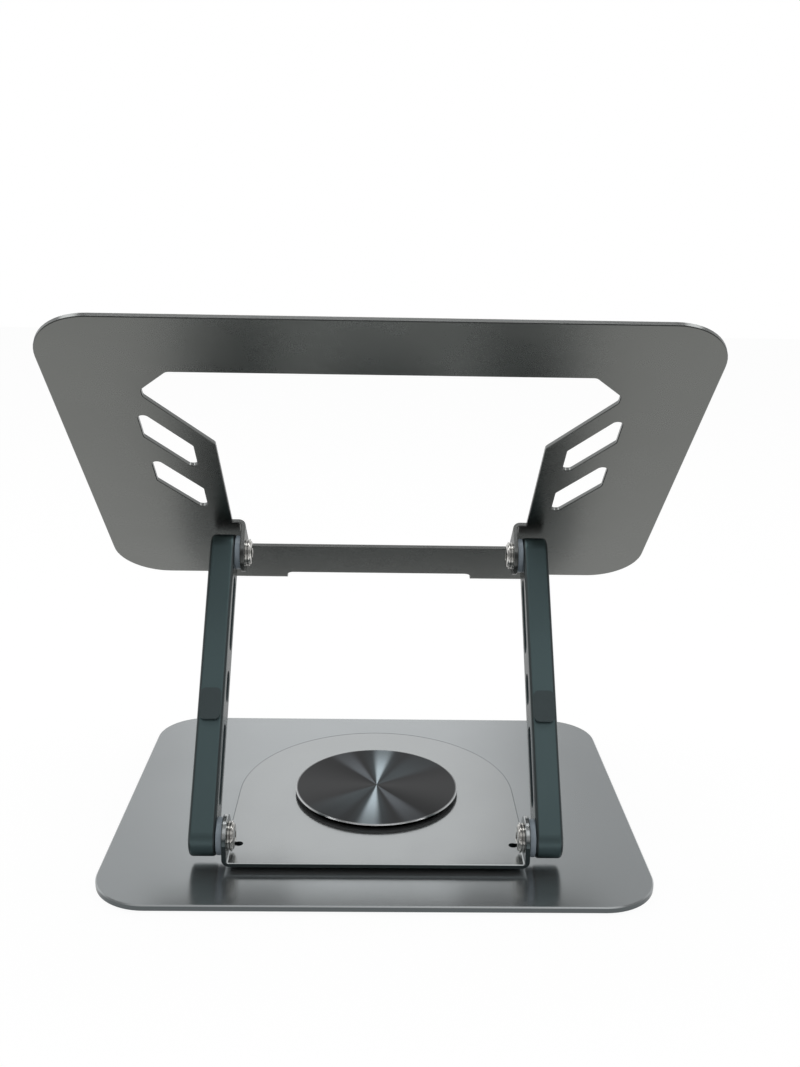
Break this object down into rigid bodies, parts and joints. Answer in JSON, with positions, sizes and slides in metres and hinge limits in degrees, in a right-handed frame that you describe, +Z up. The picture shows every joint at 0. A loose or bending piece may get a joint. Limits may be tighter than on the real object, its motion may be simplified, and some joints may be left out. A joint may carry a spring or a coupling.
{
  "type": "rotating laptop stand",
  "caption": "Folding laptop stand: a slotted tray with front lips on a pair of hinged arms, carried by a turntable plate on a flat base.",
  "frame": {"origin": "on the desk, under the middle of the base plate, on the turntable's axis", "axes": "+Z up, +X to the user's right along the hinge lines, +Y away from the user"},
  "size_m": [0.26, 0.184, 0.2354],
  "materials": {
    "base_finish": "satin space grey on steel",
    "swivel_finish": "satin space grey on steel",
    "tray_finish": "satin anodised space grey",
    "arm_finish": "satin dark slate",
    "turned_cap": "turned, dark anodised",
    "screw_steel": "bright nickel plated steel",
    "washer_steel": "plated spring steel",
    "slip_washer": "pale blue-grey acetal",
    "glide": "black acetal",
    "arm_rubber": "matte slate grey",
    "silicone": "matte black silicone"
  },
  "bodies": {
    "base": {"base_plate": "base_finish", "base_foot_front_left": "silicone", "base_foot_front_right": "silicone", "base_foot_rear_left": "silicone", "base_foot_rear_right": "silicone", "lower_glide_ring": "glide", "upper_glide_ring": "glide", "turntable_cap": "turned_cap", "cap_screws": "screw_steel"},
    "swivel": {"swivel_plate": "swivel_finish"},
    "arms": {"left_arm": "arm_finish", "right_arm": "arm_finish", "arm_pad_left": "arm_rubber", "arm_pad_right": "arm_rubber", "lower_slip_washer_left": "slip_washer", "lower_slip_washer_right": "slip_washer", "lower_flat_washers": "washer_steel", "lower_spring_washers": "washer_steel", "lower_hinge_screws": "screw_steel", "upper_spring_washers": "washer_steel", "upper_hinge_screws": "screw_steel"},
    "tray_hinge": {"upper_slip_washer_left": "slip_washer", "upper_slip_washer_right": "slip_washer", "upper_flat_washers": "washer_steel"},
    "tray": {"tray_plate": "tray_finish", "tray_strip_left": "silicone", "tray_strip_right": "silicone", "tray_strip_rear": "silicone", "tray_strip_front": "silicone", "lip_pad_left": "silicone", "lip_pad_right": "silicone"}
  },
  "joints": [
    {"name": "swivel_turn", "type": "hinge", "parent": "base", "child": "swivel", "pos_m": [0, 0, 0.0066], "axis": [0, 0, 1], "continuous": true},
    {"name": "arm_fold", "type": "hinge", "parent": "swivel", "child": "arms", "pos_m": [0, 0.0575, 0.0152], "axis": [1, 0, 0], "range_deg": [-38, 52]},
    {"name": "tray_follow", "type": "hinge", "parent": "arms", "child": "tray_hinge", "pos_m": [0, -0.02315, 0.11843], "axis": [1, 0, 0], "range_deg": [-83, 61]},
    {"name": "tray_tilt", "type": "hinge", "parent": "tray_hinge", "child": "tray", "pos_m": [0, -0.02315, 0.11843], "axis": [-1, 0, 0], "range_deg": [-13.5, 13.5]}
  ],
  "couplings": [
    {"joint": "tray_follow", "follows": "arm_fold", "ratio": -1.5769}
  ]
}
